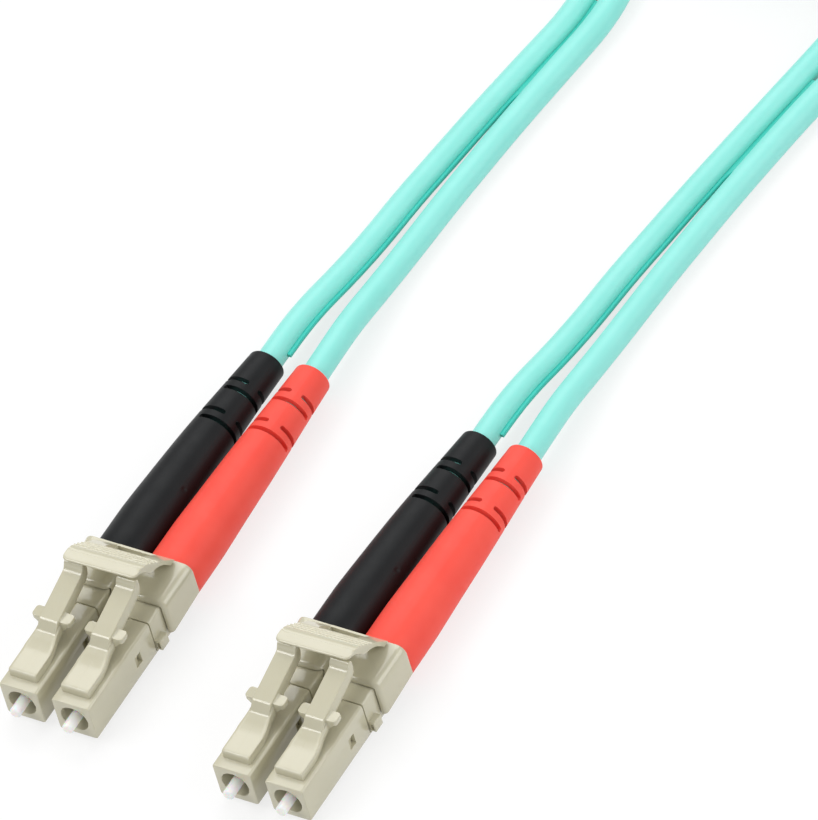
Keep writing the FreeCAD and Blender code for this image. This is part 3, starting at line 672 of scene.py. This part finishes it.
# The rest of the side view as (y, z), and the sections' distances from either end of the trigger
TRIGGER_UNDERSIDE = [(13.2, 7.47), (13.21, 7.42), (13.25, 7.38), (13.34, 7.36), (13.9, 7.16), (14.35, 6.95),
                     (14.68, 6.71), (14.95, 6.45), (15.22, 6.15), (15.5, 5.88), (15.9, 5.65), (16.7, 5.35),
                     (17.12, 5.13), (17.5, 4.87), (17.82, 4.6), (18.1, 4.3), (18.4, 3.95), (18.72, 3.56)]
TRIGGER_ROOT = [(18.85, 3.47), (19.45, 3.47), (19.53, 3.53), (18.98, 4.1), (18.5, 4.6), (18.06, 5.0),
                (17.75, 5.25)]
TRIGGER_LIP = [(15.45, 7.22), (15.15, 7.36), (14.85, 7.44), (14.68, 7.44), (14.62, 7.45), (14.56, 7.52),
               (14.2, 7.57), (13.8, 7.61), (13.46, 7.62), (13.36, 7.61), (13.28, 7.58), (13.23, 7.53)]
TRIGGER_PLACES = (0.0, 0.015, 0.06, 0.13, 0.22, 0.33, 0.45, 0.6, 0.75, 1.1, 1.6, 2.2, 2.9, 3.6)


def trigger_outline():
    """(y, z) points of the trigger's side view, from the front of its lip along its underside."""
    points = TRIGGER_UNDERSIDE + TRIGGER_ROOT
    for y in TRIGGER_RIBS:
        back = BACK_Z + BACK_SLOPE * (y - BACK_Y) if y > BACK_FRONT else BACK_LEVEL
        points.append((y + RIB_HALF, back + BACK_SLOPE * RIB_HALF))
        points += [(y + along, back + rise) for along, rise in RIB_TOP]
        points.append((y - RIB_HALF, back - BACK_SLOPE * RIB_HALF))
    return points + TRIGGER_LIP


def trigger_form():
    """The thumb lever: its side view lofted across, with round front corners and two legs."""
    stations = [place - TRIGGER_HALF for place in TRIGGER_PLACES] + [0.0]
    stations += [TRIGGER_HALF - place for place in reversed(TRIGGER_PLACES)]
    rings = []
    for x in stations:
        pull = edge_drop(TRIGGER_HALF - abs(x), TRIGGER_CORNER)
        points = []
        for y, z in trigger_outline():
            fade = max(0.0, min(1.0, (CORNER_REAR - y) / CORNER_FADE))
            high = z + TRIGGER_TILT * (x - TRIGGER_LEVEL_X)
            if z < WAVE_BELOW and y < WAVE_REAR:
                high += WAVE_DEPTH * math.sin(WAVE_RATE * y) * max(0.0, x - WAVE_FROM)
            points.append(Vector((x, y + pull * fade, high)))
        rings.append(points)
    gap = block((-2.4, 17.7, 2.0), (2.4, 21.0, 6.5), 0.15, 3)
    return combined(loft(rings), [gap])


# The pieces of both ends

for end in ENDS:
    for side in SIDES:
        plug = "%s_%s" % (end, side)
        x = SIDES[side] * HALF_PITCH
        piece("housing_shell_" + plug, housing_form(), "connector_plastic", "root", end, x,
              ["plug_housing_" + plug])
        arm = piece("latch_arm_" + plug, latch_form(), "connector_plastic", None, end, x, ["latch_" + plug])
        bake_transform(arm)

for end in ENDS:
    for side in SIDES:
        plug = "%s_%s" % (end, side)
        x = SIDES[side] * HALF_PITCH
        rubber = "boot_black" if side == "left" else "boot_red"
        piece("ferrule_pin_" + plug, ferrule_form(), "ceramic", "ferrule_" + plug, end, x,
              ["ferrule_" + plug], FERRULE_SHARP)
        rear = piece("rear_half_" + plug, rear_body_form(), "connector_plastic", "root", end, x,
                     ["rear_body_" + plug])
        softened(rear, 0.03)
        sleeve = piece("boot_sleeve_" + plug, boot_form(side), rubber, "root", end, x, ["boot_" + plug],
                       BOOT_SHARP)
        softened(sleeve, 0.05)
        piece("jacket_core_" + plug, jacket_core_form(side), "jacket", "root", end, x,
              ["jacket_end_" + plug])
    saddle = piece("clip_saddle_" + end, clip_form(), "connector_plastic", "root", end, 0.0,
                   ["duplex_clip_" + end])
    softened(saddle, 0.05)
    lever = piece("trigger_lever_" + end, trigger_form(), "connector_plastic", None, end, 0.0,
                  ["trigger_" + end])
    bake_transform(lever)


# Cords. Each boot's route starts at its tip, and its heights are above the surface that the cord lies on.

LEFT_RUN = [(-2.175, 48.3, 3.05), (-2.25, 52.3, 2.95), (-2.15, 56.9, 2.55), (-1.72, 62.0, 1.8),
            (-1.25, 67.7, 1.4), (-0.8, 73.7, 1.4), (-0.04, 79.6, 1.4), (0.69, 85.6, 1.4),
            (2.0, 94.5, 1.4)]
RIGHT_RUN = [(3.305, 48.3, 3.05), (3.15, 52.3, 2.95), (2.92, 56.6, 2.6), (2.85, 62.2, 1.75),
             (3.02, 67.9, 1.4), (3.44, 75.2, 1.4), (3.97, 81.1, 1.4), (4.5, 86.9, 1.4),
             (5.6, 95.8, 1.4)]
ROUTES = {
    "a_left": LEFT_RUN + [(3.1, 101.0, 1.4), (2.8, 106.5, 1.4), (0.3, 112.0, 1.4),
                          (-3.0, 116.9, 1.4), (-6.1, 121.6, 1.45), (-7.9, 126.7, 1.65),
                          (-8.5, 131.6, 1.9), (-8.5, 136.1, 1.9)],
    "a_right": RIGHT_RUN + [(6.4, 102.0, 1.4), (6.0, 107.8, 1.5), (3.6, 113.6, 1.9),
                            (0.3, 118.8, 2.7), (-3.6, 123.1, 3.8), (-6.9, 127.3, 4.55),
                            (-8.5, 131.7, 4.75), (-8.5, 136.1, 4.75)],
    "b_right": RIGHT_RUN + [(6.5, 102.0, 1.4), (7.8, 108.0, 1.4), (9.5, 113.7, 1.8),
                            (11.8, 119.1, 2.9), (13.8, 124.5, 4.7), (14.9, 129.5, 6.6),
                            (14.96, 133.9, 7.6), (14.96, 138.0, 7.6)],
    "b_left": LEFT_RUN + [(3.0, 101.0, 1.4), (4.3, 108.3, 1.6), (5.9, 114.6, 2.8),
                          (8.6, 120.3, 5.1), (11.4, 125.1, 7.85), (13.7, 129.3, 9.75),
                          (14.96, 133.6, 10.45), (14.96, 138.0, 10.45)],
}
COIL_X, COIL_Y, COIL_BASE, LAYER_PITCH = 3.23, 116.5, 1.9, 2.85
COIL_OUTER, COIL_STEP, COIL_STEPS, COIL_INNER = 25.0, 1.625, 5, 16.1
POINTS_PER_HALF_TURN = 12
OUTER, INNER = ("a_left", "b_right", 0), ("a_right", "b_left", 1)


def route(plug):
    end_x, end_y = ENDS[plug[0]]
    return [(end_x + x, end_y + y, z) for x, y, z in ROUTES[plug]]


def strand_points(first, second, level):
    """The route of a strand from the boot of end a, through the coil, to the boot of end b."""
    low = COIL_BASE + level * LAYER_PITCH
    high = low + 2 * LAYER_PITCH
    inward = [COIL_OUTER - COIL_STEP * turn for turn in range(COIL_STEPS)] + [COIL_INNER]
    crossings = [(reach, low) for reach in inward] + [(reach, high) for reach in reversed(inward)]
    outside = 1 / math.cos(math.pi / 2 / POINTS_PER_HALF_TURN)
    points = route(first)
    side = -1
    for (reach, height), (next_reach, next_height) in zip(crossings, crossings[1:]):
        centre = COIL_X + side * (reach - next_reach) / 2
        radius = (reach + next_reach) / 2 * outside
        for step in range(POINTS_PER_HALF_TURN):
            share = (step + 0.5) / POINTS_PER_HALF_TURN
            angle = math.pi * share
            points.append((centre + side * radius * math.cos(angle),
                           COIL_Y - side * radius * math.sin(angle),
                           height + (next_height - height) * share))
        side = -side
    return points + route(second)[::-1]


def strand_curve(name, points):
    data = bpy.data.curves.new(name, "CURVE")
    data.dimensions = "3D"
    data.resolution_u = 5
    spline = data.splines.new("NURBS")
    spline.points.add(len(points) - 1)
    for control, point in zip(spline.points, points):
        control.co = (*[c * MM for c in point], 1)
    spline.order_u = 3
    spline.use_endpoint_u = True
    return data


def strand(name, ends, nodes):
    """The jacket of one strand, a round tube along a curve through its route."""
    points = strand_points(*ends)
    data = strand_curve(name, points)
    data.bevel_depth = JACKET_RADIUS * MM
    data.bevel_resolution = 7
    data.use_fill_caps = True
    obj = dressed(bpy.data.objects.new(name, data), "jacket", "root", nodes)


def centre_line(ends):
    """Points in millimetres along the middle of a strand."""
    obj = bpy.data.objects.new("line", strand_curve("line", strand_points(*ends)))
    bpy.context.collection.objects.link(obj)
    mesh = bpy.data.meshes.new_from_object(obj.evaluated_get(bpy.context.evaluated_depsgraph_get()))
    line = [vertex.co / MM for vertex in mesh.vertices]
    bpy.data.objects.remove(obj)
    bpy.data.meshes.remove(mesh)
    return line


def crossing(line, y):
    """The (x, z) where a line that runs along Y first passes y."""
    for first, last in zip(line, line[1:]):
        if (first.y - y) * (last.y - y) <= 0 and first.y != last.y:
            point = first.lerp(last, (y - first.y) / (last.y - first.y))
            return point.x, point.z
    raise ValueError("the line never passes %g" % y)


WEB_FRONT, WEB_SPLIT, WEB_REAR, WEB_STEP, WEB_JOINING = 50.0, 89.5, 104.0, 0.75, 2
WEB_HALF_THICKNESS, WEB_REACH, WEB_SUNK, WEB_CORNER = 0.2, 1.8, 1.2, 0.08


def web(end, left_line, right_line):
    """The strip of jacket between the strands: joined beyond the split, left on one strand before it."""
    end_y = ENDS[end][1]
    rows = []
    for step in range(round((WEB_REAR - WEB_FRONT) / WEB_STEP) + 1):
        y = WEB_FRONT + step * WEB_STEP
        left_x, left_z = crossing(left_line, end_y + y)
        right_x, right_z = crossing(right_line, end_y + y)
        joined = max(0.0, min(1.0, (y - WEB_SPLIT) / WEB_JOINING))
        low_x, high_x = left_x + WEB_SUNK, left_x + WEB_REACH
        high_x += (right_x - WEB_SUNK - high_x) * joined
        high_z = left_z + (right_z - left_z) * joined
        corners = ((low_x, left_z + WEB_HALF_THICKNESS), (high_x - WEB_CORNER, high_z + WEB_HALF_THICKNESS),
                   (high_x, high_z + WEB_HALF_THICKNESS - WEB_CORNER), (high_x, high_z - WEB_HALF_THICKNESS),
                   (low_x, left_z - WEB_HALF_THICKNESS))
        rows.append([Vector((x, end_y + y, z)) * MM for x, z in corners])
    shown("web_" + end, loft(rows), "web", "root")


strand("strand_outer", OUTER, ["lead_a_left", "coil_strand_outer", "lead_b_right"])
strand("strand_inner", INNER, ["lead_a_right", "coil_strand_inner", "lead_b_left"])
outer_line, inner_line = centre_line(OUTER), centre_line(INNER)
web("a", outer_line, inner_line)
web("b", inner_line[::-1], outer_line[::-1])


# Materials of the frame's own pieces

for node in frame["record"]["subparts"]:
    obj = frame["nodes"][node["node"]]
    obj.data.materials.clear()
    obj.data.materials.append(MATERIALS[node["material_slot"]])


# Floor, light and camera

def floor_material():
    """White with a faint shadow where the camera or a gloss sees it, and grey in diffuse light."""
    material = bpy.data.materials.new("floor")
    material.use_nodes = True
    nodes, links = material.node_tree.nodes, material.node_tree.links
    nodes.remove(nodes["Principled BSDF"])
    white = nodes.new("ShaderNodeEmission")
    shaded, plain = (nodes.new("ShaderNodeBsdfDiffuse") for _ in range(2))
    white.inputs["Strength"].default_value = 1.0
    shaded.inputs["Color"].default_value = (1.0, 1.0, 1.0, 1)
    plain.inputs["Color"].default_value = (0.8, 0.8, 0.8, 1)
    seen, choice = (nodes.new("ShaderNodeMixShader") for _ in range(2))
    seen.inputs["Fac"].default_value = 0.25
    links.new(white.outputs["Emission"], seen.inputs[1])
    links.new(shaded.outputs["BSDF"], seen.inputs[2])
    path, direct = nodes.new("ShaderNodeLightPath"), nodes.new("ShaderNodeMath")
    direct.operation = "MAXIMUM"
    links.new(path.outputs["Is Camera Ray"], direct.inputs[0])
    links.new(path.outputs["Is Glossy Ray"], direct.inputs[1])
    links.new(direct.outputs["Value"], choice.inputs["Fac"])
    links.new(plain.outputs["BSDF"], choice.inputs[1])
    links.new(seen.outputs["Shader"], choice.inputs[2])
    links.new(choice.outputs["Shader"], nodes["Material Output"].inputs["Surface"])
    return material


bpy.ops.mesh.primitive_plane_add(size=6, location=(0, 0, 0))
floor = bpy.context.object
floor.name = "floor"
floor.data.materials.append(floor_material())

world = bpy.data.worlds.new("studio")
bpy.context.scene.world = world
world.use_nodes = True
background = world.node_tree.nodes["Background"]
background.inputs["Color"].default_value = (1, 1, 1, 1)
background.inputs["Strength"].default_value = 0.5


def lamp(name, place, aim, width, height, power):
    light = bpy.data.lights.new(name, "AREA")
    light.shape = "RECTANGLE"
    light.size, light.size_y = width, height
    light.energy = power
    obj = bpy.data.objects.new(name, light)
    obj.location = place
    obj.rotation_euler = (Vector(place) - Vector(aim)).to_track_quat("Z", "Y").to_euler()
    bpy.context.collection.objects.link(obj)


lamp("key", (-0.2, 0.45, 0.6), (0, 0.02, 0), 0.6, 0.6, 2.1)
lamp("side", (0.6, 0.15, 0.4), (0, 0.02, 0), 0.5, 0.5, 1.6)
lamp("glint", (-0.33, -0.27, 0.57), (0, 0, 0), 0.5, 0.24, 1.8)

CAMERA_RIGHT = (0.8454, 0.4925, -0.2083)
CAMERA_UP = (-0.2538, 0.7119, 0.6543)
CAMERA_BACK = (0.4705, -0.5003, 0.7268)
CAMERA_AIM, CAMERA_DISTANCE = (-0.00016, 0.02757, -0.00012), 3.4
SENSOR_WIDTH, PICTURE_LONG_SIDE, PIXELS_PER_METRE = 36, 820, 9889
camera_data = bpy.data.cameras.new("camera")
camera_data.sensor_width = SENSOR_WIDTH
camera_data.lens = SENSOR_WIDTH * CAMERA_DISTANCE * PIXELS_PER_METRE / PICTURE_LONG_SIDE
camera_data.clip_start, camera_data.clip_end = 0.05, 40
camera = bpy.data.objects.new("camera", camera_data)
bpy.context.collection.objects.link(camera)
camera.rotation_euler = Matrix((CAMERA_RIGHT, CAMERA_UP, CAMERA_BACK)).transposed().to_euler()
camera.location = Vector(CAMERA_AIM) + Vector(CAMERA_BACK) * CAMERA_DISTANCE
bpy.context.scene.camera = camera
bpy.context.scene.view_settings.view_transform = "Standard"
